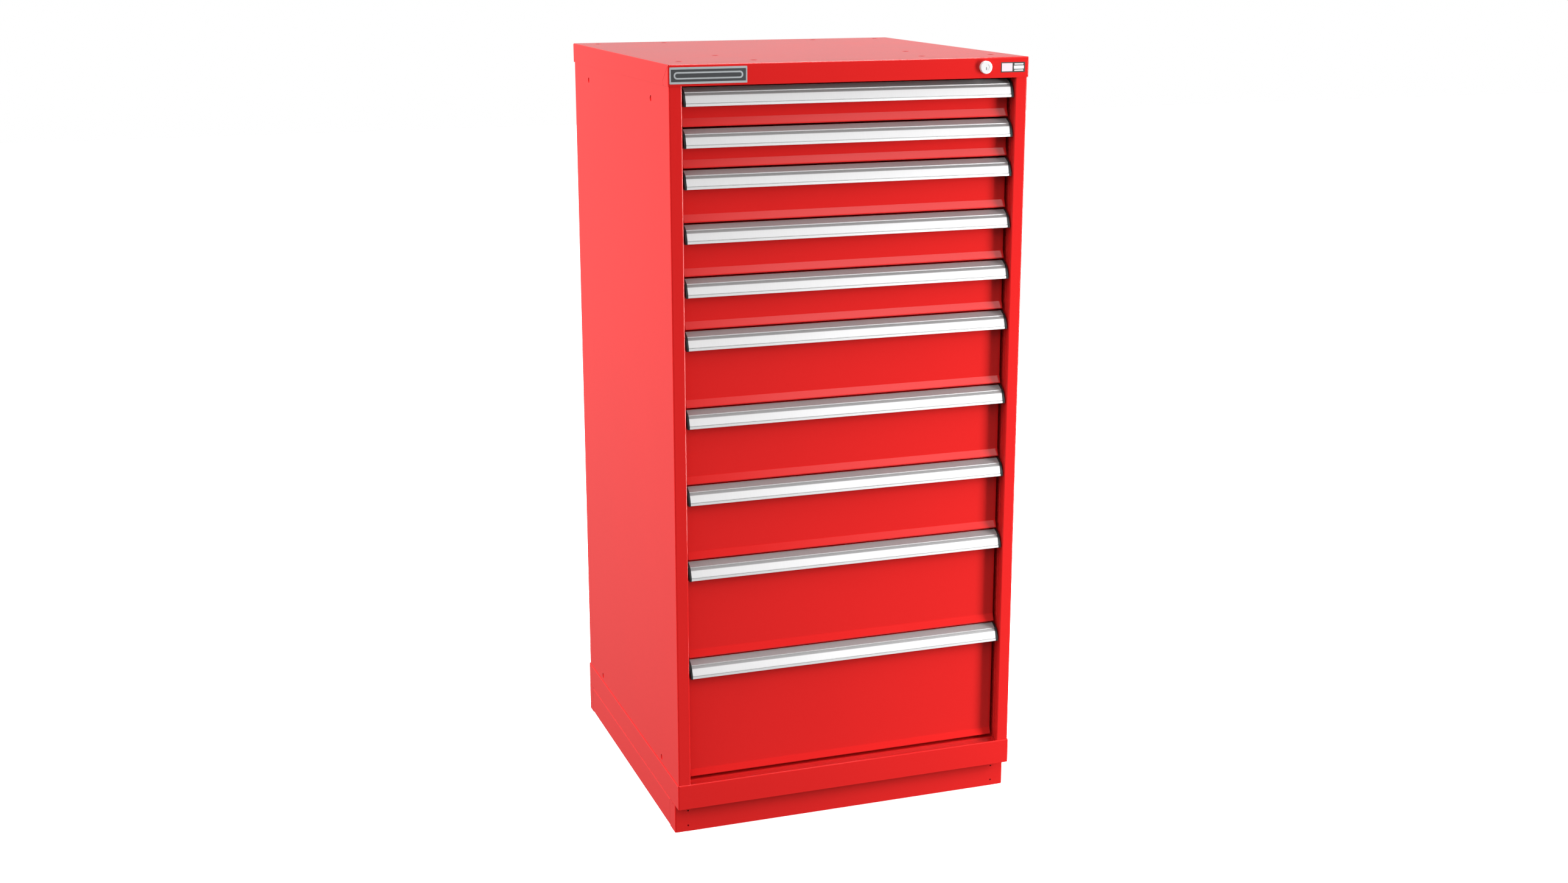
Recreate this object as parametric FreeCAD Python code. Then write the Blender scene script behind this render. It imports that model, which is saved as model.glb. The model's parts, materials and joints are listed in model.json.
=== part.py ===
"""Ten-drawer modular tool cabinet of folded sheet steel on a fixed plinth.

Millimetres. +X is the cabinet's right seen from the front, +Y runs from the front to the back, +Z is up.
The origin is on the floor, under the centre of the whole cabinet with its lock. Drawers are numbered
from the top down and are modelled closed; the lock is modelled unlocked.
"""
import FreeCAD, Part
import math
import os

# overall size
WIDTH = 717.55
DEPTH = 723.9
HEIGHT = 1511.3
LOCK_PROUD = 6.5  # the lock's face stands this far in front of the cabinet
FRONT = (LOCK_PROUD - DEPTH) / 2
BACK = FRONT + DEPTH

# sheet metal
SHEET = 1.7  # casing
THIN = 1.2  # drawers and back panel
BEND = 0.8  # inner bend radius
SEAM = 0.6  # width of an open seam or of a slit beside a folded corner
RELIEF_R = 1.1  # relief hole where bends meet

# casing
CAP_FLANGE = 38.7
EAR_TIP = (35.7, 7.5, 6.0)  # behind the front, above the flange's edge, radius
PAN_FLANGE = 51.5
PAN_CHANNEL_BACK = 24.0  # behind the cabinet's face
PAN_CHANNEL_DEPTH = 6.0
PAN_CHANNEL_END = 1.5  # short of the posts
FOOT_R = 0.8  # rounded lower edge of the pan's flanges
PLINTH_HEIGHT = 59.3
PLINTH_SETBACK = 25.7
PLINTH_SHEET = 1.9
PLINTH_FLANGE = 30.0
PLINTH_FRONT_WRAP = 36.6
PLINTH_BACK_WRAP = 29.0
PLINTH_RELIEF = (1.2, 18.0, 56.0)  # radius, behind the plinth's face, height
POST_FACE = 24.9  # the side panels' flanges beside the drawers
POST_RETURN = 13.7
PAN_TOP = PLINTH_HEIGHT + PAN_FLANGE
CASE_X = WIDTH / 2 - SHEET  # outer face of the side panels, inside the cap's flanges
OPENING_X = CASE_X - POST_FACE
CEILING = HEIGHT - SHEET - 1.0  # the panels stop short of the cap's inner bend

# drawer spaces, in units of the slotted uprights
UNIT = 25.1
DRAWER_UNITS = (3, 3, 4, 4, 4, 6, 6, 6, 8, 10)
STACK_BOTTOM = 116.1
STACK_TOP = STACK_BOTTOM + UNIT * sum(DRAWER_UNITS)

# drawers
FRONT_X = 326.8
FRONT_Y = FRONT + 25.0  # face of the drawer fronts, behind the cabinet's face
FRONT_DEPTH = 15.0
FRONT_RISE = 1.0  # a front's lower edge above the bottom of its space
LAST_FRONT_RISE = 2.4  # the same for the lowest drawer, over the bottom pan
FRONT_DROP = 2.8  # a front's upper edge below the top of its space
FRONT_EDGE_R = 1.2
FLARE_TOP = 17.0  # a front's face leans out below this height above the bottom of its space
FLARE_SLOPE = 0.36
FLARE_BEND = 5.0
NOSE_R = 1.8
TUB_X = 307.0
TUB_INSIDE = 611.0  # front to back
TUB_FRONT = FRONT_Y + FRONT_DEPTH
TUB_BACK = TUB_FRONT + TUB_INSIDE + 2 * THIN
TUB_LIFT = 5.0  # drawer floor above the bottom of its space
TUB_DROP = 9.0  # drawer rim below the top of its space
TUB_RIM = 9.0  # width of the folded rim along both sides

# drawer suspension: drawer rail, carriage with rollers, cabinet rail
RAIL_Z = 18.0  # rail centre above the bottom of the drawer's space
RAIL_HALF = 12.2
RAIL_SHEET = 1.8
RAIL_BEND = 0.4
DRAWER_RAIL_X = 318.2
CABINET_RAIL_X = 323.0
CABINET_RAIL_BACK_X = 333.9
CABINET_RAIL_START = FRONT + 42.0
CABINET_RAIL_END = FRONT + 690.0
BAR_X = (319.0, 322.0)
BAR_HALF = 11.5
BAR_START = FRONT + 42.0
BAR_LENGTH = 610.0
ROLLER_R = 10.1
STUD_R = 3.0
STUD_GAP = 0.05
INNER_ROLLER_X = (309.6, 317.8)
OUTER_ROLLER_X = (323.2, 331.2)
INNER_ROLLERS_Y = (FRONT + 54.0, FRONT + 315.0)
OUTER_ROLLERS_Y = (FRONT + 380.0, FRONT + 640.0)

# slotted uprights
UPRIGHT_X = (CABINET_RAIL_BACK_X, CASE_X - SHEET)
UPRIGHT_SHEET = 1.5
UPRIGHT_WIDTH = 40.0
UPRIGHT_FRONT = FRONT + 22.5
UPRIGHT_REAR = FRONT + 660.0
UPRIGHT_TOP = 1470.0
SLOT = (2.5, 9.0)
SLOT_INSET = 7.5

# handle, in mm in front of the drawer front and above the handle's lower edge
HANDLE_DROP = 36.1  # lower edge below the top of the drawer's space
HANDLE_X = 325.1
HANDLE_WALL = 1.8
HANDLE_TOP = 33.3
RAMP = (13.2, 25.5)
KINK = (17.0, 19.6)
LIP_TOP = (21.6, 5.9)
LIP_OUT = 22.2
GROOVE = 0.9  # height of the two label grooves
GROOVE_DEPTH = 1.0
BACK_PLATE_LOW = 8.0
END_CAP = 3.9
END_CAP_PROUD = 0.5

# lock and lock bar
LOCK_X = 266.7
LOCK_Z = HEIGHT - 18.2
LOCK_FACE_R = 12.0
LOCK_BARREL_R = 9.5
LOCK_BACK = FRONT + 30.0
PLUG_R = 6.0
PLUG_RECESS = 0.4
KEYWAY = (1.7, -5.0, 0.6, 18.0)  # width, lower end, upper end, depth
NUT_R = 13.5
NUT_DEPTH = 4.5
CAM_Y = LOCK_BACK + 1.0
CAM_SHEET = 2.5
CAM_REACH = 10.0
CAM_REST = math.radians(225)  # measured from +X towards +Z
PIN_R = 2.5
BAR_TRAVEL = 2 * CAM_REACH * math.sin(math.radians(45))
PIN_PLAY = 0.6  # the bar moves in proportion to the lock's angle, its pin along an arc
LOCK_BAR_X = (337.0, 339.5)
LOCK_BAR_Y = (FRONT + 34.0, FRONT + 58.0)
ARM_Y = (FRONT + 38.0, FRONT + 40.5)
ARM_HALF = 8.0
ARM_END = 11.0  # from the cam's pin to the arm's end
BAR_FOOT = 20.0  # from the lowest finger's middle to the bar's foot
FINGER_Y = (FRONT + 50.0, FRONT + 54.0)
FINGER_TIP_X = 324.0
FINGER_HEIGHT = 8.0
CATCH_Y = (FRONT + 56.0, FRONT + 60.0)
CATCH_TIP_X = 328.0
CATCH_Z = 50.5  # catch centre above the bottom of the drawer's space
CATCH_FOOT = 14.0  # length of the bracket's foot along the drawer

# holes
TOP_HOLE_R = 6.6
TOP_CORNER_HOLES = (315.0, FRONT + 79.5, FRONT + 682.5)  # x, front row, rear row
TOP_INNER_HOLES_X = 169.6
TOP_MIDDLE_HOLES = (198.5, FRONT + 227.5)
KNOCKOUT_R = 5.5  # half-sheared knockouts in the side panels, for bolting cabinets together
KNOCKOUT_DEPTH = 1.3
KNOCKOUTS_Y = (FRONT + 124.0, FRONT + 600.0)
KNOCKOUTS_Z = (123.2, 1442.5)
PLINTH_HOLE_R = 1.8
PLINTH_HOLES_X = 331.7
PLINTH_HOLES_Z = (12.2, 44.0)

# plates on the cap's front flange: x from, x to, z from, z to, thickness
BADGE = (-355.9, -209.1, 1476.5, 1506.4, 1.2)
BADGE_RIM = (2.2, 3.6)
BADGE_FIELD = 0.5  # depth of the field inside the rim
LABEL = (299.9, 350.0, 1482.5, 1501.6, 0.25)
PLATE_CORNER_R = 1.0


def vector(x, y, z):
    return FreeCAD.Vector(x, y, z)


def box(x_span, y_span, z_span):
    """A block between two values on each axis."""
    size = [abs(b - a) for a, b in (x_span, y_span, z_span)]
    corner = vector(min(x_span), min(y_span), min(z_span))
    return Part.makeBox(*size, corner)


def rod(radius, start, end):
    """A cylinder from one point to another."""
    along = vector(*end) - vector(*start)
    return Part.makeCylinder(radius, along.Length, vector(*start), along)


def mirrored(shape):
    """The same shape on the cabinet's other side."""
    return shape.mirror(vector(0, 0, 0), vector(1, 0, 0))


def both_sides(shapes):
    return [s for shape in shapes for s in (mirrored(shape), shape)]


def outline(corners):
    """A flat face from (u, v, radius) corners, each rounded by its radius."""
    count = len(corners)
    points = [vector(u, v, 0) for u, v, _ in corners]
    starts, middles, stops = [], [], []
    for i, (_, _, radius) in enumerate(corners):
        here = points[i]
        to_last = (points[i - 1] - here).normalize()
        to_next = (points[(i + 1) % count] - here).normalize()
        half = to_last.getAngle(to_next) / 2
        cut = radius / math.tan(half)
        starts.append(here + to_last * cut)
        stops.append(here + to_next * cut)
        bisector = (to_last + to_next).normalize() if radius else vector(0, 0, 0)
        middles.append(here + bisector * (radius / math.sin(half) - radius))
    edges = []
    for i, (_, _, radius) in enumerate(corners):
        if radius:
            edges.append(Part.Arc(starts[i], middles[i], stops[i]).toShape())
        edges.append(Part.LineSegment(stops[i], starts[(i + 1) % count]).toShape())
    return Part.Face(Part.Wire(edges))


def left_normal(a, b):
    length = math.hypot(b[0] - a[0], b[1] - a[1])
    return ((a[1] - b[1]) / length, (b[0] - a[0]) / length)


def folded(points, thickness, bend=BEND):
    """The section of a folded sheet: the points are its right-hand face, the sheet lies to their left."""
    normals = [left_normal(a, b) for a, b in zip(points, points[1:])]
    before = [normals[0]] + normals
    after = normals + [normals[-1]]
    right, left = [], []
    for (u, v), n, m in zip(points, before, after):
        scale = thickness / (1 + n[0] * m[0] + n[1] * m[1])
        turn = n[0] * m[1] - n[1] * m[0]
        near, far = (0, 0) if abs(turn) < 1e-6 else (bend, bend + thickness)
        right.append((u, v, far if turn > 0 else near))
        left.append((u + (n[0] + m[0]) * scale, v + (n[1] + m[1]) * scale, near if turn > 0 else far))
    return outline(right + left[::-1])


def along_z(face, z_from, z_to):
    """Extrude a face drawn as (x, y)."""
    return face.extrude(vector(0, 0, z_to - z_from)).translated(vector(0, 0, z_from))


def along_x(face, x_from, x_to):
    """Extrude a face drawn as (y, z)."""
    solid = face.extrude(vector(0, 0, x_to - x_from))
    turn = FreeCAD.Matrix(0, 0, 1, x_from, 1, 0, 0, 0, 0, 1, 0, 0, 0, 0, 0, 1)
    solid.Placement = FreeCAD.Placement(turn)
    return solid


def along_y(face, y_from, y_to):
    """Extrude a face drawn as (x, z)."""
    solid = face.extrude(vector(0, 0, y_to - y_from))
    turn = FreeCAD.Matrix(1, 0, 0, 0, 0, 0, -1, y_to, 0, 1, 0, 0, 0, 0, 0, 1)
    solid.Placement = FreeCAD.Placement(turn)
    return solid


def seam(points, x_mid):
    """Thin cutters along a line of (y, z) points through a flange that lies across X."""
    cutters = []
    for (y0, z0), (y1, z1) in zip(points, points[1:]):
        length = math.hypot(y1 - y0, z1 - z0)
        blade = box((x_mid - SHEET, x_mid + SHEET), (0, length), (-SEAM / 2, SEAM / 2))
        blade.rotate(vector(0, 0, 0), vector(1, 0, 0), math.degrees(math.atan2(z1 - z0, y1 - y0)))
        cutters.append(blade.translated(vector(0, y0, z0)))
    return cutters


def tray(top, flange):
    """A square tray with its flanges turned down, as wide and deep as the cabinet."""
    outer = box((-WIDTH / 2, WIDTH / 2), (FRONT, BACK), (top - flange, top))
    outer = outer.makeFillet(BEND + SHEET, [e for e in outer.Edges if e.CenterOfMass.z > top - flange + 1])
    inside_x = WIDTH / 2 - SHEET
    inner = box((-inside_x, inside_x), (FRONT + SHEET, BACK - SHEET), (top - flange - 1, top - SHEET))
    inner = inner.makeFillet(BEND, [e for e in inner.Edges if e.CenterOfMass.z > top - flange])
    return outer.cut(inner)


def is_outermost(point):
    """Whether a point lies on the cabinet's outline, seen from above."""
    half = SHEET / 2
    return abs(point.x) > WIDTH / 2 - half or point.y < FRONT + half or point.y > BACK - half


def corner_relief(x_sign, y, z):
    """A small hole on the diagonal where three bends meet at a corner."""
    inwards = vector(-x_sign, 1, -1).normalize()
    corner = vector(x_sign * WIDTH / 2, y, z)
    return Part.makeCylinder(RELIEF_R, 9, corner - inwards, inwards)


def ear_seam(x_sign, top, flange):
    """The slit round the ear that the front flange wraps onto the side, with its rounded tip."""
    reach, rise, radius = EAR_TIP
    middle = (FRONT + reach - radius, top - flange + rise)
    points = [(FRONT + 3.0, top - 3.0), (middle[0] + radius / 2, middle[1] + radius / 2)]
    for degrees in range(40, -100, -20):
        angle = math.radians(degrees)
        points.append((middle[0] + radius * math.cos(angle), middle[1] + radius * math.sin(angle) - 1.0))
    return seam(points, x_sign * (WIDTH - SHEET) / 2)


def top_holes():
    x, front_row, rear_row = TOP_CORNER_HOLES
    columns = (-x, -TOP_INNER_HOLES_X, TOP_INNER_HOLES_X, x)
    places = [(column, row) for column in columns for row in (front_row, rear_row)]
    places += [(sign * TOP_MIDDLE_HOLES[0], TOP_MIDDLE_HOLES[1]) for sign in (-1, 1)]
    return [rod(TOP_HOLE_R, (hx, hy, HEIGHT - 5), (hx, hy, HEIGHT + 5)) for hx, hy in places]


def top_cap():
    cutters = top_holes()
    cutters.append(rod(LOCK_BARREL_R + 0.1, (LOCK_X, FRONT - 5, LOCK_Z), (LOCK_X, FRONT + 5, LOCK_Z)))
    for sign in (-1, 1):
        cutters.append(corner_relief(sign, FRONT, HEIGHT))
        cutters += ear_seam(sign, HEIGHT, CAP_FLANGE)
    return tray(HEIGHT, CAP_FLANGE).cut(cutters)


def bottom_pan():
    """The tray under the casing, with a sunk channel in front of the lowest drawer."""
    x = OPENING_X - PAN_CHANNEL_END
    front, back = FRONT + SHEET, FRONT + PAN_CHANNEL_BACK
    floor = PAN_TOP - PAN_CHANNEL_DEPTH
    half = SHEET / 2
    channel = box((-x - SHEET, x + SHEET), (front - half, back + SHEET), (floor - SHEET, PAN_TOP - half))
    cutters = [box((-x, x), (front, back), (floor, PAN_TOP + 1))]
    cutters += [corner_relief(sign, FRONT, PAN_TOP) for sign in (-1, 1)]
    slanted = [(BACK - 3.0, PAN_TOP - 3.0), (BACK - 16.0, PLINTH_HEIGHT + 6.0), (BACK - 12.0, PLINTH_HEIGHT)]
    for sign in (-1, 1):
        cutters += seam(slanted, sign * (WIDTH - SHEET) / 2)
    pan = tray(PAN_TOP, PAN_FLANGE)
    foot = [e for e in pan.Edges if e.BoundBox.ZMax < PLINTH_HEIGHT + half and is_outermost(e.CenterOfMass)]
    return pan.makeFillet(FOOT_R, foot).fuse(channel).cut(cutters)


def side_panel():
    """The right side: one sheet folded round the front post, with a flange along the back."""
    front, back = FRONT + SHEET, BACK - SHEET - THIN
    path = [
        (OPENING_X, front + POST_RETURN),
        (OPENING_X, front),
        (CASE_X, front),
        (CASE_X, back),
        (OPENING_X, back),
    ]
    panel = along_z(folded(path, SHEET), PAN_TOP, CEILING)
    places = [(y, z) for y in KNOCKOUTS_Y for z in KNOCKOUTS_Z]
    sunk, inner = CASE_X - KNOCKOUT_DEPTH, CASE_X - SHEET
    hollows = [rod(KNOCKOUT_R, (sunk, y, z), (CASE_X + 5, y, z)) for y, z in places]
    slugs = [rod(KNOCKOUT_R, (inner - KNOCKOUT_DEPTH, y, z), (sunk, y, z)) for y, z in places]
    return panel.cut(hollows).fuse(slugs).removeSplitter()


def back_panel():
    x = CASE_X - 1.0
    return box((-x, x), (BACK - SHEET - THIN, BACK - SHEET), (PAN_TOP, CEILING))


def plinth_end(outside_y, inwards, wrap):
    """The plinth's front or back: a plate wrapped round both sides, with flanges at its foot and head."""
    x = WIDTH / 2
    reach = outside_y + inwards * wrap
    path = [(-x, reach), (-x, outside_y), (x, outside_y), (x, reach)]
    if inwards < 0:
        path = [(-u, v) for u, v in path]
    wall = along_z(folded(path, PLINTH_SHEET), 0, PLINTH_HEIGHT)
    inner = outside_y + inwards * PLINTH_SHEET
    flange_x = x - 2 * PLINTH_SHEET - 2
    flanges = [
        box((-flange_x, flange_x), (inner, outside_y + inwards * PLINTH_FLANGE), span)
        for span in ((0, PLINTH_SHEET), (PLINTH_HEIGHT - PLINTH_SHEET, PLINTH_HEIGHT))
    ]
    return wall.fuse(flanges).removeSplitter()


def plinth_front():
    face = FRONT + PLINTH_SETBACK
    holes = [
        rod(PLINTH_HOLE_R, (sign * PLINTH_HOLES_X, face - 5, z), (sign * PLINTH_HOLES_X, face + 5, z))
        for sign in (-1, 1) for z in PLINTH_HOLES_Z
    ]
    radius, behind, z = PLINTH_RELIEF
    for side in (-WIDTH / 2, WIDTH / 2):
        holes.append(rod(radius, (side - 5, face + behind, z), (side + 5, face + behind, z)))
    return plinth_end(face, 1, PLINTH_FRONT_WRAP).cut(holes)


def plinth_back():
    return plinth_end(BACK, -1, PLINTH_BACK_WRAP)


def plinth_side():
    """The right side rail: a channel between the wraps, with a tongue that runs inside both."""
    x = WIDTH / 2 - PLINTH_SHEET
    z_low, z_high = PLINTH_SHEET, PLINTH_HEIGHT - PLINTH_SHEET
    inside, outside = x - PLINTH_FLANGE, WIDTH / 2
    path = [(inside, 0), (outside, 0), (outside, PLINTH_HEIGHT), (inside, PLINTH_HEIGHT)]
    start = FRONT + PLINTH_SETBACK + PLINTH_FRONT_WRAP + SEAM
    end = BACK - PLINTH_FLANGE
    rail = along_y(folded(path, PLINTH_SHEET), start, end)
    tongue = box((x - PLINTH_SHEET, x), (FRONT + PLINTH_SETBACK + 4, BACK - 4), (z_low + 2, z_high - 2))
    return rail.fuse(tongue).removeSplitter()


def upright(y_from):
    """A slotted upright on the right: a channel that opens towards the side panel."""
    x_in, x_out = UPRIGHT_X
    y_to = y_from + UPRIGHT_WIDTH
    section = folded([(x_out, y_to), (x_in, y_to), (x_in, y_from), (x_out, y_from)], UPRIGHT_SHEET)
    post = along_z(section, PAN_TOP, UPRIGHT_TOP)
    slots = []
    for step in range(sum(DRAWER_UNITS)):
        z = STACK_BOTTOM + UNIT * (step + 0.5)
        y = y_from + SLOT_INSET
        slots.append(box((x_in - 1, x_in + 3), (y, y + SLOT[0]), (z - SLOT[1] / 2, z + SLOT[1] / 2)))
    return post.cut(slots)


def drawer_spaces():
    """(bottom, top) of each drawer's space, from the top drawer down."""
    spaces, top = [], STACK_TOP
    for units in DRAWER_UNITS:
        bottom = top - units * UNIT
        spaces.append((bottom, top))
        top = bottom
    return spaces


def right_front_upright():
    """The same upright with a window for each finger of the lock bar."""
    windows = []
    for bottom, _ in drawer_spaces():
        low = bottom + CATCH_Z - FINGER_HEIGHT / 2 - BAR_TRAVEL - 2
        high = bottom + CATCH_Z + FINGER_HEIGHT / 2 + 2
        width = (FINGER_Y[0] - 2, FINGER_Y[1] + 2)
        windows.append(box((UPRIGHT_X[0] - 1, UPRIGHT_X[0] + 3), width, (low, high)))
    return upright(UPRIGHT_FRONT).cut(windows)


def channel(x_open, x_back, z):
    """The section of a rail whose web is at x_back and whose flanges reach to x_open."""
    side = 1 if x_back > x_open else -1
    first, last = z - side * RAIL_HALF, z + side * RAIL_HALF
    path = [(x_open, first), (x_back, first), (x_back, last), (x_open, last)]
    return folded(path, RAIL_SHEET, RAIL_BEND)


def cabinet_rails():
    rails = []
    for bottom, _ in drawer_spaces():
        section = channel(CABINET_RAIL_X, CABINET_RAIL_BACK_X, bottom + RAIL_Z)
        rails.append(along_y(section, CABINET_RAIL_START, CABINET_RAIL_END))
    return both_sides(rails)


def roller(x_span, y, z):
    wheel = rod(ROLLER_R, (x_span[0], y, z), (x_span[1], y, z))
    return wheel.cut(rod(STUD_R + STUD_GAP, (x_span[0] - 1, y, z), (x_span[1] + 1, y, z)))


def carriages(bottom):
    """Both carriages of a drawer: a bar with four studs, and the four rollers that turn on them."""
    z = bottom + RAIL_Z
    bar = box(BAR_X, (BAR_START, BAR_START + BAR_LENGTH), (z - BAR_HALF, z + BAR_HALF))
    studs, rollers = [], []
    for y in INNER_ROLLERS_Y:
        studs.append(rod(STUD_R, (BAR_X[0] + 1, y, z), (INNER_ROLLER_X[0] + 0.2, y, z)))
        rollers.append(roller(INNER_ROLLER_X, y, z))
    for y in OUTER_ROLLERS_Y:
        studs.append(rod(STUD_R, (BAR_X[1] - 1, y, z), (OUTER_ROLLER_X[1] - 0.2, y, z)))
        rollers.append(roller(OUTER_ROLLER_X, y, z))
    return both_sides([bar.fuse(studs).removeSplitter()] + rollers)


def front_edges(bottom, top):
    """The heights of a drawer front's lower and upper edges."""
    rise = LAST_FRONT_RISE if bottom < STACK_BOTTOM + 1 else FRONT_RISE
    return bottom + rise, top - FRONT_DROP


def front_section(bottom, top, inset):
    """A drawer front's section as (y, z, radius), moved inwards by inset. Its face leans out at the foot."""
    low, high = front_edges(bottom, top)
    face, foot = FRONT_Y + inset, low + inset
    lean = inset * math.hypot(1, FLARE_SLOPE)
    kink = bottom + FLARE_TOP - (lean - inset) / FLARE_SLOPE
    nose = FRONT_Y + lean - FLARE_SLOPE * (bottom + FLARE_TOP - foot)
    back = TUB_FRONT + inset
    radii = [0 if inset else radius for radius in (FRONT_EDGE_R, FLARE_BEND, NOSE_R)]
    return [
        (back, foot, 0),
        (back, high - inset, 0),
        (face, high - inset, radii[0]),
        (face, kink, radii[1]),
        (nose, foot, radii[2]),
    ]


def drawer_front(bottom, top):
    """A shallow hollow panel, open at the back beside the tub."""
    panel = along_x(outline(front_section(bottom, top, 0)), -FRONT_X, FRONT_X)
    ends = [e for e in panel.Edges if abs(e.CenterOfMass.x) > FRONT_X - 1]
    panel = panel.makeFillet(FRONT_EDGE_R - 0.2, [e for e in ends if e.BoundBox.YMax < TUB_FRONT - 1])
    hollow_x = FRONT_X - SHEET
    return panel.cut(along_x(outline(front_section(bottom, top, SHEET)), -hollow_x, hollow_x))


def drawer_tub(bottom, top):
    """The drawer's floor, walls, folded side rims and front panel, welded into one piece."""
    floor, rim = bottom + TUB_LIFT, top - TUB_DROP
    shell = box((-TUB_X, TUB_X), (TUB_FRONT, TUB_BACK), (floor, rim))
    inside = box((THIN - TUB_X, TUB_X - THIN), (TUB_FRONT + THIN, TUB_BACK - THIN), (floor + THIN, rim + 1))
    low, high = front_edges(bottom, top)
    plate = box((-TUB_X, TUB_X), (TUB_FRONT - THIN, TUB_FRONT), (low + SHEET, high - SHEET))
    rims = both_sides([box((TUB_X, TUB_X + TUB_RIM), (TUB_FRONT, TUB_BACK), (rim - THIN, rim))])
    return shell.cut(inside).fuse([drawer_front(bottom, top), plate] + rims).removeSplitter()


def drawer_catch(bottom):
    """The bracket on the drawer's right side that a finger of the lock bar stops."""
    z = bottom + CATCH_Z
    height = (z - FINGER_HEIGHT / 2, z + FINGER_HEIGHT / 2)
    tab = box((TUB_X, CATCH_TIP_X), CATCH_Y, height)
    foot = box((TUB_X, TUB_X + 2), (CATCH_Y[0], CATCH_Y[1] + CATCH_FOOT), height)
    return tab.fuse(foot).removeSplitter()


def drawer_rail(bottom):
    section = channel(DRAWER_RAIL_X, TUB_X, bottom + RAIL_Z)
    return along_y(section, TUB_FRONT, TUB_BACK)


def drawer_body(bottom, top):
    return [drawer_tub(bottom, top), drawer_catch(bottom)] + both_sides([drawer_rail(bottom)])


def handle_point(out, up, top):
    """A point of the handle's section as (y, z)."""
    return FRONT_Y - out, top - HANDLE_DROP + up


def handle(top):
    """An extruded pull: a ramp, a label face between two grooves, a lip for the fingers, a back plate."""
    wall = HANDLE_WALL
    section = [
        (0, BACK_PLATE_LOW, 0),
        (0, HANDLE_TOP, 0),
        (RAMP[0], RAMP[1], 0.5),
        (RAMP[0], RAMP[1] - GROOVE, 0),
        (RAMP[0] - GROOVE_DEPTH, RAMP[1] - GROOVE, 0),
        (RAMP[0] - GROOVE_DEPTH, RAMP[1] - 2 * GROOVE, 0),
        (RAMP[0] + 0.2, RAMP[1] - 2 * GROOVE, 0.3),
        (KINK[0], KINK[1], 4.0),
        (LIP_TOP[0], LIP_TOP[1], 0.3),
        (LIP_TOP[0] - GROOVE_DEPTH, LIP_TOP[1], 0),
        (LIP_TOP[0] - GROOVE_DEPTH, LIP_TOP[1] - GROOVE, 0),
        (LIP_OUT, LIP_TOP[1] - GROOVE, 0.4),
        (LIP_OUT, 0, 0.6),
        (LIP_OUT - wall, 0, 0.5),
        (LIP_OUT - wall - 0.6, LIP_TOP[1] - 1.5, 1.0),
        (LIP_TOP[0] - wall - GROOVE_DEPTH, LIP_TOP[1] + 1.0, 1.0),
        (KINK[0] - wall - 1.0, KINK[1] - 1.0, 2.5),
        (RAMP[0] - wall - 1.0, RAMP[1] - wall - 1.6, 1.0),
        (wall, HANDLE_TOP - 3.2, 1.0),
        (wall, BACK_PLATE_LOW, 0.5),
    ]
    corners = [(*handle_point(out, up, top), radius) for out, up, radius in section]
    return along_x(outline(corners), -HANDLE_X, HANDLE_X)


def end_cap(top):
    """The right-hand plastic cap that closes the handle's end."""
    proud = END_CAP_PROUD
    section = [
        (0, 1.0, 0),
        (0, HANDLE_TOP + proud, 0),
        (RAMP[0] + proud, RAMP[1] + proud, 0.8),
        (KINK[0] + proud, KINK[1] + proud, 3.0),
        (LIP_OUT + proud, LIP_TOP[1], 6.0),
        (LIP_OUT + proud, -proud, 0.8),
        (LIP_OUT - 6.0, -proud, 0.8),
        (3.0, 1.0, 0.8),
    ]
    corners = [(*handle_point(out, up, top), radius) for out, up, radius in section]
    return along_x(outline(corners), HANDLE_X, HANDLE_X + END_CAP)


def lock_body():
    face = rod(LOCK_FACE_R, (LOCK_X, FRONT, LOCK_Z), (LOCK_X, FRONT - LOCK_PROUD, LOCK_Z))
    face = face.makeFillet(1.0, [e for e in face.Edges if e.BoundBox.YMax < FRONT - LOCK_PROUD + 0.5])
    barrel = rod(LOCK_BARREL_R, (LOCK_X, FRONT, LOCK_Z), (LOCK_X, LOCK_BACK, LOCK_Z))
    bore = rod(PLUG_R + STUD_GAP, (LOCK_X, FRONT - LOCK_PROUD - 1, LOCK_Z), (LOCK_X, LOCK_BACK + 1, LOCK_Z))
    return face.fuse(barrel).removeSplitter().cut(bore)


def lock_plug():
    start = FRONT - LOCK_PROUD + PLUG_RECESS
    plug = rod(PLUG_R, (LOCK_X, start, LOCK_Z), (LOCK_X, CAM_Y + CAM_SHEET, LOCK_Z))
    width, low, high, depth = KEYWAY
    span = (LOCK_X - width / 2, LOCK_X + width / 2)
    keyway = box(span, (start - 1, start + depth), (LOCK_Z + low, LOCK_Z + high))
    return plug.cut([keyway, plug_flat()])


def plug_flat():
    """What is cut off the top of the plug's end, so that it turns the cam."""
    return box((LOCK_X - PLUG_R, LOCK_X + PLUG_R), (CAM_Y, CAM_Y + CAM_SHEET + 1), (LOCK_Z + 4, LOCK_Z + 7))


def cam_pin_place():
    return LOCK_X + CAM_REACH * math.cos(CAM_REST), LOCK_Z + CAM_REACH * math.sin(CAM_REST)


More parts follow.
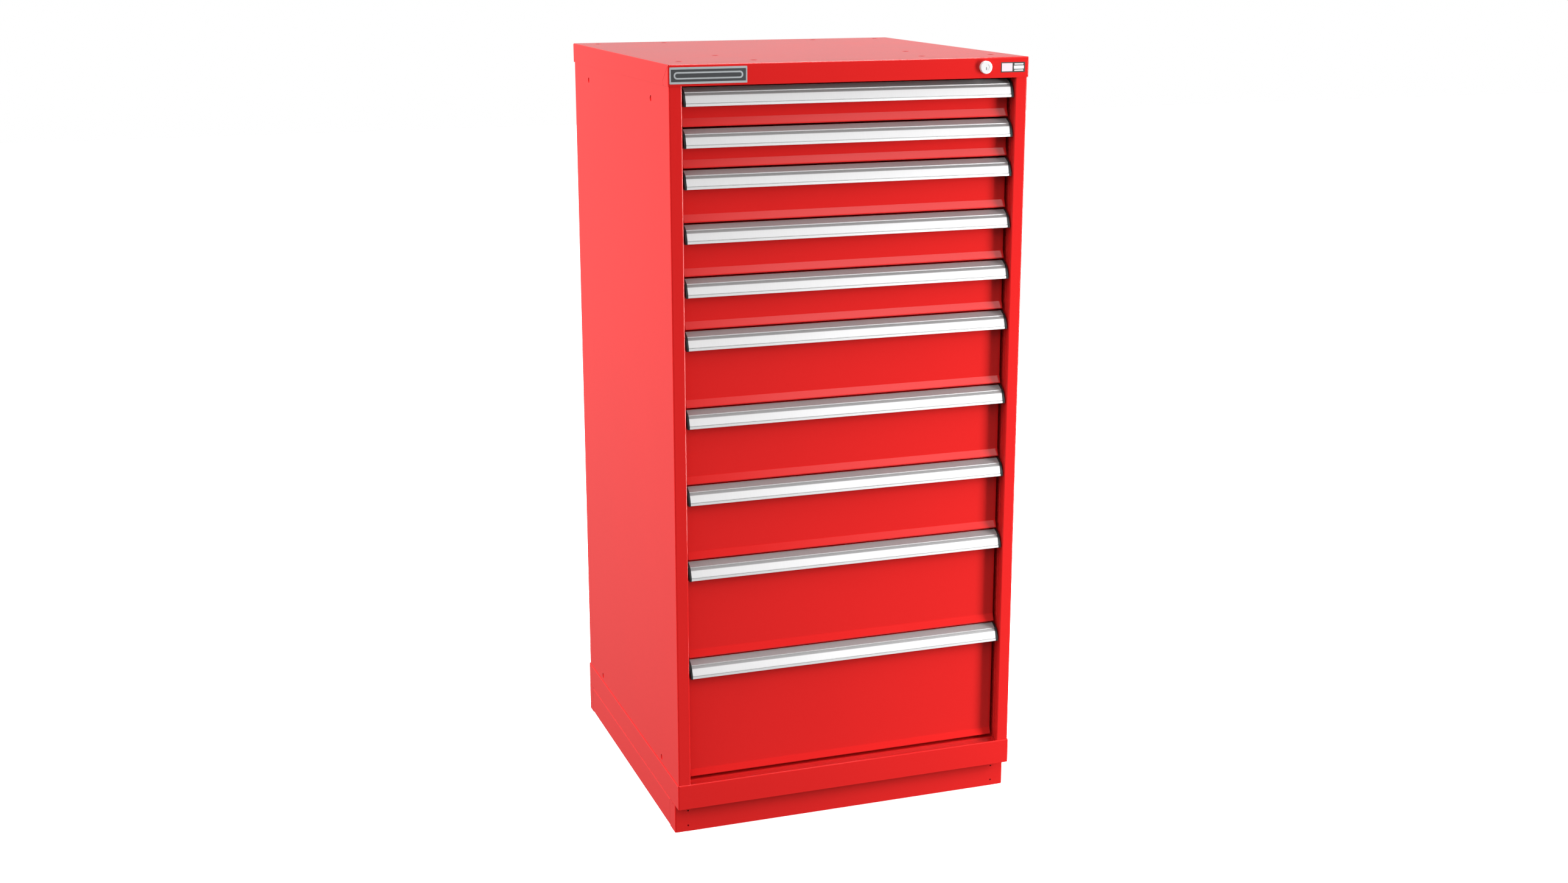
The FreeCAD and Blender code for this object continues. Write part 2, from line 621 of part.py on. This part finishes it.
def lock_cam():
    """The arm on the plug's end, with the pin that carries the lock bar."""
    x, z = cam_pin_place()
    y = CAM_Y
    hub = rod(PLUG_R + 2.5, (LOCK_X, y, LOCK_Z), (LOCK_X, y + CAM_SHEET, LOCK_Z))
    tip = rod(PIN_R + 2.0, (x, y, z), (x, y + CAM_SHEET, z))
    arm = box((0, CAM_REACH), (y, y + CAM_SHEET), (-PIN_R - 2.0, PIN_R + 2.0))
    arm.rotate(vector(0, 0, 0), vector(0, 1, 0), -math.degrees(CAM_REST))
    arm.translate(vector(LOCK_X, 0, LOCK_Z))
    pin = rod(PIN_R, (x, y, z), (x, ARM_Y[1] + 2, z))
    plug_end = rod(PLUG_R + STUD_GAP, (LOCK_X, y, LOCK_Z), (LOCK_X, y + CAM_SHEET + 1, LOCK_Z))
    return hub.fuse([tip, arm, pin]).cut(plug_end.cut(plug_flat())).removeSplitter()


def lock_nut():
    angles = [math.radians(degrees) for degrees in range(0, 360, 60)]
    corners = [(LOCK_X + NUT_R * math.cos(a), LOCK_Z + NUT_R * math.sin(a), 0) for a in angles]
    nut = along_y(outline(corners), FRONT + SHEET, FRONT + SHEET + NUT_DEPTH)
    return nut.cut(rod(LOCK_BARREL_R + 0.02, (LOCK_X, FRONT, LOCK_Z), (LOCK_X, FRONT + 10, LOCK_Z)))


def lock_bar():
    """The bar in the right front upright with its arm to the lock's cam, and a finger for each drawer."""
    spaces = drawer_spaces()
    pin_x, pin_z = cam_pin_place()
    foot = spaces[-1][0] + CATCH_Z - BAR_TRAVEL - BAR_FOOT
    bar = box(LOCK_BAR_X, LOCK_BAR_Y, (foot, pin_z + ARM_HALF))
    arm = box((pin_x - ARM_END, LOCK_BAR_X[1]), ARM_Y, (pin_z - ARM_HALF, pin_z + ARM_HALF))
    slot_half = PIN_R + PIN_PLAY
    pin_sweep = CAM_REACH * (1 - math.cos(math.radians(45)))
    slot_x = (pin_x - pin_sweep - slot_half - 1, pin_x + slot_half + 1)
    slot = box(slot_x, (ARM_Y[0] - 1, ARM_Y[1] + 1), (pin_z - slot_half, pin_z + slot_half))
    pieces = [bar.fuse(arm).removeSplitter().cut(slot)]
    for bottom, _ in spaces:
        z = bottom + CATCH_Z - BAR_TRAVEL
        height = (z - FINGER_HEIGHT / 2, z + FINGER_HEIGHT / 2)
        pieces.append(box((FINGER_TIP_X, LOCK_BAR_X[0]), FINGER_Y, height))
    return pieces


def front_plate(x_from, x_to, z_from, z_to, thickness):
    """A plate on the cap's front flange, with rounded corners."""
    places = [(x_from, z_from), (x_to, z_from), (x_to, z_to), (x_from, z_to)]
    return along_y(outline([(x, z, PLATE_CORNER_R) for x, z in places]), FRONT - thickness, FRONT)


def badge_plate():
    """A blank name plate: a raised rim round a sunken field."""
    x_from, x_to, z_from, z_to, thickness = BADGE
    side, edge = BADGE_RIM
    face = FRONT - thickness
    field = box((x_from + side, x_to - side), (face - 1, face + BADGE_FIELD), (z_from + edge, z_to - edge))
    return front_plate(*BADGE).cut(field)


def blank_label():
    return front_plate(*LABEL)


def build():
    nodes = {
        "top_cap": top_cap(),
        "left_side_panel": mirrored(side_panel()),
        "right_side_panel": side_panel(),
        "back_panel": back_panel(),
        "bottom_pan": bottom_pan(),
        "plinth_front": plinth_front(),
        "plinth_back": plinth_back(),
        "plinth_side_rails": both_sides([plinth_side()]),
        "left_front_upright": mirrored(upright(UPRIGHT_FRONT)),
        "right_front_upright": right_front_upright(),
        "left_rear_upright": mirrored(upright(UPRIGHT_REAR)),
        "right_rear_upright": upright(UPRIGHT_REAR),
        "cabinet_rails": cabinet_rails(),
        "lock_body": lock_body(),
        "lock_plug": lock_plug(),
        "lock_cam": lock_cam(),
        "lock_nut": lock_nut(),
        "lock_bar": lock_bar(),
        "badge_plate": badge_plate(),
        "blank_label": blank_label(),
    }
    for number, (bottom, top) in enumerate(drawer_spaces(), 1):
        name = f"drawer_{number:02d}"
        nodes[name + "_body"] = drawer_body(bottom, top)
        nodes[name + "_handle"] = handle(top)
        nodes[name + "_end_caps"] = both_sides([end_cap(top)])
        nodes[name + "_carriages"] = carriages(bottom)
    return nodes


os.makedirs("parts", exist_ok=True)
for node, shape in build().items():
    pieces = shape if isinstance(shape, list) else [shape]
    solids = [solid for piece in pieces for solid in piece.Solids]
    whole = solids[0] if len(solids) == 1 else Part.makeCompound(solids)
    whole.exportStep(f"parts/{node}.step")
    print(f"{node}: {len(solids)} solids, {whole.Volume / 1000:.1f} cm3, valid {whole.isValid()}")
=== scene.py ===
"""Looks of the ten-drawer tool cabinet: its finishes, small pieces, the studio and the camera."""
import json
import math

import bmesh
import bpy
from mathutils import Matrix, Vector


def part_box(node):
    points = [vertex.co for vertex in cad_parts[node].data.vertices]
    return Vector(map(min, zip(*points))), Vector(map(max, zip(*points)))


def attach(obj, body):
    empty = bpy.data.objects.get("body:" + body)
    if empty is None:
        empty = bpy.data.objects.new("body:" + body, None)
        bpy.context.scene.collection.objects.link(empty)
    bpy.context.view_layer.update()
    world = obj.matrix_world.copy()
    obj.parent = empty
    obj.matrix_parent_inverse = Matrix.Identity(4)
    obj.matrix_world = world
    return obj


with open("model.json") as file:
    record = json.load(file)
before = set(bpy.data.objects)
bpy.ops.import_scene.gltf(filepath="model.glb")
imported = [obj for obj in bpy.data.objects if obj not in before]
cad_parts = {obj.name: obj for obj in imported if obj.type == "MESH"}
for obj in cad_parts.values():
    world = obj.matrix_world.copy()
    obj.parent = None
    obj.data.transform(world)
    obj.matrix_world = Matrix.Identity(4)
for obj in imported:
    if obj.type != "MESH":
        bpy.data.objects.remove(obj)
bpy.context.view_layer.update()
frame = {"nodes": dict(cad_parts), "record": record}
NODES = frame["nodes"]
MM = 0.001


# ---------------------------------------------------------------- materials

class Finish:
    """A material made of nodes, with short ways to add and join them."""

    def __init__(self, name, colour, metallic=0.0, roughness=0.5):
        self.material = bpy.data.materials.new(name)
        self.material.use_nodes = True
        self.tree = self.material.node_tree
        self.shader = self.tree.nodes["Principled BSDF"]
        self.colour = (*colour, 1.0)
        self.shader.inputs["Base Color"].default_value = self.colour
        self.shader.inputs["Metallic"].default_value = metallic
        self.shader.inputs["Roughness"].default_value = roughness
        self.place = self.add("ShaderNodeTexCoord").outputs["Object"]

    def add(self, kind, **inputs):
        node = self.tree.nodes.new(kind)
        for name, value in inputs.items():
            self.feed(node.inputs[name.replace("_", " ")], value)
        return node

    def feed(self, socket, value):
        if isinstance(value, bpy.types.NodeSocket):
            self.tree.links.new(value, socket)
        else:
            socket.default_value = value

    def stretched(self, scale):
        """Object coordinates scaled along each axis."""
        return self.add("ShaderNodeMapping", Vector=self.place, Scale=scale).outputs["Vector"]

    def noise(self, scale, detail=2.0, place=None):
        node = self.add("ShaderNodeTexNoise", Vector=place or self.place, Scale=scale, Detail=detail)
        return node.outputs["Fac"]

    def ranged(self, value, low, high, start=0.0, stop=1.0):
        node = self.add("ShaderNodeMapRange", Value=value)
        for name, number in (("From Min", start), ("From Max", stop), ("To Min", low), ("To Max", high)):
            node.inputs[name].default_value = number
        return node.outputs["Result"]

    def away_from_middle(self, near, far):
        """0 within a square about the origin, 1 outside it."""
        split = self.add("ShaderNodeSeparateXYZ", Vector=self.place)
        sides = []
        for axis in ("X", "Y"):
            side = self.add("ShaderNodeMath")
            side.operation = "ABSOLUTE"
            self.feed(side.inputs[0], split.outputs[axis])
            sides.append(side.outputs["Value"])
        longest = self.add("ShaderNodeMath")
        longest.operation = "MAXIMUM"
        self.feed(longest.inputs[0], sides[0])
        self.feed(longest.inputs[1], sides[1])
        return self.ranged(longest.outputs["Value"], 0.0, 1.0, near, far)

    def flatness(self):
        """0 on an upright surface, 1 on a level one."""
        normal = self.add("ShaderNodeTexCoord").outputs["Normal"]
        split = self.add("ShaderNodeSeparateXYZ", Vector=normal)
        size = self.add("ShaderNodeMath")
        size.operation = "ABSOLUTE"
        self.feed(size.inputs[0], split.outputs["Z"])
        return size.outputs["Value"]

    def shaded(self, factor, low, high):
        """The finish's own colour, made darker or lighter by a factor map."""
        mix = self.add("ShaderNodeMix")
        mix.data_type = "RGBA"
        self.feed(mix.inputs[0], factor)
        mix.inputs[6].default_value = tuple(min(1.0, c * low) for c in self.colour[:3]) + (1.0,)
        mix.inputs[7].default_value = tuple(min(1.0, c * high) for c in self.colour[:3]) + (1.0,)
        self.feed(self.shader.inputs["Base Color"], mix.outputs[2])

    def rough(self, factor, low, high):
        self.feed(self.shader.inputs["Roughness"], self.ranged(factor, low, high))

    def bump(self, height, depth, strength=1.0):
        node = self.add("ShaderNodeBump", Height=height, Strength=strength, Distance=depth)
        self.feed(self.shader.inputs["Normal"], node.outputs["Normal"])


def powder_coat(name, colour):
    """Smooth gloss powder coat: a faint orange peel, slow changes of shade and a few softer patches."""
    f = Finish(name, colour)
    f.shaded(f.noise(4.0), 0.975, 1.025)
    f.rough(f.noise(9.0, 4.0), 0.05, 0.13)
    f.bump(f.noise(520.0, 2.0), 0.0000035)
    return f.material


def zinc_plate():
    f = Finish("zinc_plated_steel", (0.60, 0.61, 0.63), 1.0)
    spangle = f.add("ShaderNodeTexVoronoi", Vector=f.place, Scale=70.0)
    f.shaded(spangle.outputs["Distance"], 0.86, 1.12)
    f.rough(f.noise(160.0, 3.0), 0.26, 0.44)
    f.bump(f.noise(900.0), 0.00001)
    return f.material


def aluminium():
    """Drawn and anodised: fine lines along the extrusion and soft brush marks, with painted shade that makes
    the ramp and grooves greyer than the face.
    """
    face_slope, ramp_slope = 0.3, 0.6
    brush_share = 0.08
    f = Finish("anodised_aluminium", (0.93, 0.93, 0.935), 0.5)
    drawn = f.noise(1.0, 3.0, f.stretched((6.0, 1800.0, 1800.0)))
    brush = f.add("ShaderNodeMapping", Vector=f.place, Rotation=(0.0, 0.0, math.radians(24)))
    brush.inputs["Scale"].default_value = (520.0, 40.0, 60.0)
    brushed = f.noise(1.0, 2.0, brush.outputs["Vector"])
    # Painted shade: surfaces that slope away from upright (the ramp, the groove walls, the lip's underside)
    # get a base colour down to 0.44 of the face's. This stands in for the darker reflections they show,
    # though the metal is the same there as on the face. The brush marks add a little on top.
    brush_and_painted_shade = f.add("ShaderNodeMath")
    f.feed(brush_and_painted_shade.inputs[0], f.ranged(f.flatness(), 1.0 - brush_share, 0.0, face_slope, ramp_slope))
    f.feed(brush_and_painted_shade.inputs[1], f.ranged(brushed, 0.0, brush_share))
    f.shaded(brush_and_painted_shade.outputs["Value"], 0.44, 1.0)
    f.rough(drawn, 0.36, 0.5)
    f.bump(drawn, 0.000008)
    return f.material


def end_cap_plastic():
    f = Finish("black_plastic", (0.016, 0.016, 0.017))
    f.shaded(f.noise(60.0), 0.85, 1.2)
    f.rough(f.noise(400.0, 3.0), 0.24, 0.42)
    f.bump(f.noise(1600.0), 0.000015)
    return f.material


def satin_chrome():
    f = Finish("satin_chrome", (0.95, 0.95, 0.95), 0.55)
    f.shaded(f.noise(300.0, 3.0), 0.96, 1.03)
    f.rough(f.noise(700.0), 0.26, 0.38)
    f.bump(f.noise(2500.0), 0.000004)
    return f.material


def plate_metal(name, colour, metallic):
    f = Finish(name, colour, metallic)
    lines = f.noise(1.0, 2.0, f.stretched((30.0, 900.0, 2600.0)))
    f.shaded(lines, 0.93, 1.06)
    f.rough(lines, 0.34, 0.5)
    f.bump(lines, 0.000006)
    return f.material


def film(name, colour):
    f = Finish(name, colour)
    f.shaded(f.noise(500.0, 3.0), 0.96, 1.03)
    f.rough(f.noise(900.0), 0.36, 0.5)
    f.bump(f.noise(1500.0), 0.000008)
    return f.material


RED = (0.60, 0.0150, 0.0142)
CASE_PAINT = powder_coat("case_powder_coat", RED)
DRAWER_PAINT = powder_coat("drawer_powder_coat", RED)
ZINC = zinc_plate()
ALUMINIUM = aluminium()
BLACK_PLASTIC = end_cap_plastic()
CHROME = satin_chrome()
PLATE_RIM = plate_metal("plate_rim", (0.47, 0.50, 0.515), 0.3)
PLATE_FIELD = plate_metal("plate_field", (0.055, 0.058, 0.062), 0.1)
LABEL_BLACK = film("label_black", (0.02, 0.02, 0.018))
LABEL_PALE = film("label_pale", (0.66, 0.55, 0.60))
LABEL_WHITE = film("label_white", (0.86, 0.86, 0.86))

BY_SLOT = {
    "case_paint": CASE_PAINT,
    "drawer_paint": DRAWER_PAINT,
    "rail_steel": ZINC,
    "handle_aluminium": ALUMINIUM,
    "end_cap_plastic": BLACK_PLASTIC,
    "lock_chrome": CHROME,
    "badge_metal": PLATE_RIM,
    "label_film": LABEL_BLACK,
}


def dress(obj, material):
    obj.data.materials.clear()
    obj.data.materials.append(material)


def finish_nodes():
    """Gives every CAD node the finish of its slot in the record."""
    for part in frame["record"]["subparts"]:
        dress(NODES[part["node"]], BY_SLOT[part["material_slot"]])


# ------------------------------------------------------------- small pieces

def rounded_loop(half_x, half_z, radius, steps=6):
    """Points of a rounded rectangle, anticlockwise, about its own middle."""
    points = []
    for sx, sz, start in ((1, 1, 0), (-1, 1, 90), (-1, -1, 180), (1, -1, 270)):
        for step in range(steps + 1):
            angle = math.radians(start + 90 * step / steps)
            x = sx * (half_x - radius) + radius * math.cos(angle)
            points.append((x, sz * (half_z - radius) + radius * math.sin(angle)))
    return points


def plate(name, middle, loops, depths, material):
    """A thin plate that faces the front, lofted through loops of (x, z) at depths in front of its middle."""
    bm = bmesh.new()
    rings = []
    for loop, depth in zip(loops, depths):
        rings.append([bm.verts.new((middle[0] + x, middle[1] - depth, middle[2] + z)) for x, z in loop])
    count = len(rings[0])
    for near, far in zip(rings, rings[1:]):
        for i in range(count):
            bm.faces.new((near[i], near[(i + 1) % count], far[(i + 1) % count], far[i]))
    bm.faces.new(rings[0][::-1])
    bm.faces.new(rings[-1])
    bmesh.ops.recalc_face_normals(bm, faces=bm.faces)
    mesh = bpy.data.meshes.new(name)
    bm.to_mesh(mesh)
    bm.free()
    obj = bpy.data.objects.new(name, mesh)
    bpy.context.scene.collection.objects.link(obj)
    dress(obj, material)
    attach(obj, "cabinet")
    return obj


def bevelled(name, middle, half_x, half_z, radius, height, material):
    """A plate whose front edge is bevelled all round."""
    bevel = height / 2
    loops = [
        rounded_loop(half_x, half_z, radius),
        rounded_loop(half_x, half_z, radius),
        rounded_loop(half_x - bevel, half_z - bevel, radius - bevel / 2),
    ]
    return plate(name, middle, loops, (0.0, height - bevel, height), material)


def name_plate():
    """A dark field with a plain raised bar and a dark inlay, in place of lettering."""
    low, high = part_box("badge_plate")
    middle = (low + high) / 2
    recess, rim_x, rim_z = 0.5 * MM, 2.5 * MM, 3.9 * MM
    half_x, half_z = (high.x - low.x) / 2 - rim_x, (high.z - low.z) / 2 - rim_z
    place = Vector((middle.x, low.y + recess, middle.z))
    for name, x, z, radius, height, material in (
        ("name_plate_field", half_x, half_z, 0.8 * MM, 0.2 * MM, PLATE_FIELD),
        ("name_plate_bar", half_x - 5 * MM, 6.6 * MM, 6.4 * MM, 0.25 * MM, PLATE_RIM),
        ("name_plate_inlay", half_x - 8 * MM, 3.8 * MM, 3.6 * MM, 0.05 * MM, PLATE_FIELD),
    ):
        bevelled(name, place, x, z, radius, height, material)
        place.y -= height


def label_panels():
    """A plain pale panel on the left half of the dark film, and three plain bars on the right half."""
    low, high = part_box("blank_label")
    radius, height = 0.5 * MM, 0.06 * MM
    for name, start, stop, foot, head, material in (
        ("label_panel", 0.035, 0.475, 0.10, 0.90, LABEL_PALE),
        ("label_bar_top", 0.56, 0.93, 0.74, 0.86, LABEL_WHITE),
        ("label_bar_middle", 0.54, 0.95, 0.34, 0.64, LABEL_WHITE),
        ("label_bar_bottom", 0.56, 0.93, 0.13, 0.24, LABEL_WHITE),
    ):
        x_from, x_to = (low.x + (high.x - low.x) * share for share in (start, stop))
        z_from, z_to = (low.z + (high.z - low.z) * share for share in (foot, head))
        middle = Vector(((x_from + x_to) / 2, low.y, (z_from + z_to) / 2))
        half_x, half_z = (x_to - x_from) / 2, (z_to - z_from) / 2
        bevelled(name, middle, half_x, half_z, radius, height, material)


# ------------------------------------------------------------------- studio

# The places below were chosen. The strengths and powers came from a least-squares fit, except that
# right_tall was then raised from 110 W. The camera's numbers came from a fit too.

LOBES = {
    # broad soft lights of the surround: azimuth, elevation, radius in degrees, strength
    "all": [(160, 15, 40, 0.4), (27, 26, 10, 2.1)],
    "glossy": [
        (-150, -5, 35, 0.44),
        (27, 32, 18, 0.19),
        (27, 26, 10, 0.18),
        (27, -20, 25, 0.1),
        (160, 15, 40, 0.1),
    ],
    "diffuse": [
        (-50, 20, 50, 1.49),
        (-100, 20, 50, 3.13),
        (0, 60, 50, 1.59),
        (100, 20, 50, 2.04),
    ],
}
SOFTBOXES = [
    # name, azimuth, elevation, distance, width, height in metres, power in watts
    ("right_tall", 55, 0, 3.0, 0.7, 2.4, 128),
    ("right_strip", 50, 0, 2.2, 0.5, 2.0, 9.3),
    ("left_back", -120, 24, 3.2, 1.0, 1.3, 86),
    ("left_high", -90, 35, 3.2, 1.0, 1.1, 28.5),
    ("top_right", 90, 75, 3.2, 1.2, 1.1, 69),
    ("right_back", 100, 35, 3.2, 1.0, 1.1, 132),
]
AIM = Vector((0, 0, 0.85))  # what the softboxes face
FLOOR_REACH = 14.0
UNDER_CABINET = (0.33, 0.34)  # the floor stops glowing between these distances from its middle
CAMERA_PLACE = (-1.35585, -3.81908, 1.74953)
CAMERA_TURN = 0.33845  # radians, to the right of +Y
CAMERA_TILT = -0.25459  # radians, above the horizon
CAMERA_LENS = 45.33
CAMERA_SENSOR = 36.0


def direction(azimuth, elevation):
    """Azimuth 0 points to the front (-Y), 90 to the right (+X)."""
    a, e = math.radians(azimuth), math.radians(elevation)
    return Vector((math.sin(a) * math.cos(e), -math.cos(a) * math.cos(e), math.sin(e)))


def softbox(name, azimuth, elevation, distance, width, height, power):
    data = bpy.data.lights.new("softbox_" + name, "AREA")
    data.shape = "RECTANGLE"
    data.size, data.size_y, data.energy = width, height, power
    obj = bpy.data.objects.new("softbox_" + name, data)
    obj.location = AIM + direction(azimuth, elevation) * distance
    obj.rotation_mode = "QUATERNION"
    obj.rotation_quaternion = direction(azimuth, elevation).to_track_quat("Z", "Y")
    bpy.context.scene.collection.objects.link(obj)


def lobe_sum(tree, place, lobes):
    """Strength of a few soft round lobes, added up."""
    total = 0.0
    for azimuth, elevation, radius, strength in lobes:
        dot = tree.nodes.new("ShaderNodeVectorMath")
        dot.operation = "DOT_PRODUCT"
        tree.links.new(place, dot.inputs[0])
        dot.inputs[1].default_value = direction(azimuth, elevation)
        lobe = tree.nodes.new("ShaderNodeMapRange")
        lobe.interpolation_type = "SMOOTHSTEP"
        tree.links.new(dot.outputs["Value"], lobe.inputs["Value"])
        lobe.inputs["From Min"].default_value = math.cos(math.radians(radius))
        lobe.inputs["To Max"].default_value = strength
        total = combine(tree, "ADD", lobe.outputs["Result"], total)
    return total


def combine(tree, operation, first, second):
    node = tree.nodes.new("ShaderNodeMath")
    node.operation = operation
    for socket, value in zip(node.inputs, (first, second)):
        if isinstance(value, bpy.types.NodeSocket):
            tree.links.new(value, socket)
        else:
            socket.default_value = value
    return node.outputs["Value"]


def studio_world():
    """White behind the object; what lights it is a few broad soft lobes."""
    world = bpy.data.worlds.new("studio")
    bpy.context.scene.world = world
    world.use_nodes = True
    tree = world.node_tree
    tree.nodes.clear()
    add, join = tree.nodes.new, tree.links.new
    place = add("ShaderNodeTexCoord").outputs["Generated"]
    rays = add("ShaderNodeLightPath").outputs
    total = lobe_sum(tree, place, LOBES["all"])
    for kind, ray in (("glossy", "Is Glossy Ray"), ("diffuse", "Is Diffuse Ray")):
        seen = combine(tree, "MULTIPLY", lobe_sum(tree, place, LOBES[kind]), rays[ray])
        total = combine(tree, "ADD", total, seen)
    light, backdrop = add("ShaderNodeBackground"), add("ShaderNodeBackground")
    join(total, light.inputs["Strength"])
    backdrop.inputs["Color"].default_value = (1, 1, 1, 1)
    mix, out = add("ShaderNodeMixShader"), add("ShaderNodeOutputWorld")
    join(rays["Is Camera Ray"], mix.inputs["Fac"])
    join(light.outputs["Background"], mix.inputs[1])
    join(backdrop.outputs["Background"], mix.inputs[2])
    join(mix.outputs["Shader"], out.inputs["Surface"])


def floor():
    """A plain white floor that gives off its own light, except under the cabinet, and isn't mirrored."""
    mesh = bpy.data.meshes.new("floor")
    signs = ((-1, -1), (1, -1), (1, 1), (-1, 1))
    corners = [(x * FLOOR_REACH, y * FLOOR_REACH, 0) for x, y in signs]
    mesh.from_pydata(corners, [], [(0, 1, 2, 3)])
    obj = bpy.data.objects.new("floor", mesh)
    bpy.context.scene.collection.objects.link(obj)
    f = Finish("floor_white", (0.9, 0.9, 0.9), roughness=0.9)
    f.shader.inputs["Emission Color"].default_value = (1, 1, 1, 1)
    f.feed(f.shader.inputs["Emission Strength"], f.away_from_middle(*UNDER_CABINET))
    dress(obj, f.material)
    obj.visible_glossy = False
    obj.visible_diffuse = False
    obj.visible_shadow = False


def camera():
    data = bpy.data.cameras.new("camera")
    data.lens, data.sensor_width = CAMERA_LENS, CAMERA_SENSOR
    obj = bpy.data.objects.new("camera", data)
    obj.location = CAMERA_PLACE
    level = math.cos(CAMERA_TILT)
    ahead = Vector((math.sin(CAMERA_TURN) * level, math.cos(CAMERA_TURN) * level, math.sin(CAMERA_TILT)))
    obj.rotation_mode = "QUATERNION"
    obj.rotation_quaternion = ahead.to_track_quat("-Z", "Y")
    bpy.context.scene.collection.objects.link(obj)
    bpy.context.scene.camera = obj


finish_nodes()
name_plate()
label_panels()
studio_world()
for box in SOFTBOXES:
    softbox(*box)
floor()
camera()
bpy.context.scene.view_settings.view_transform = "Standard"
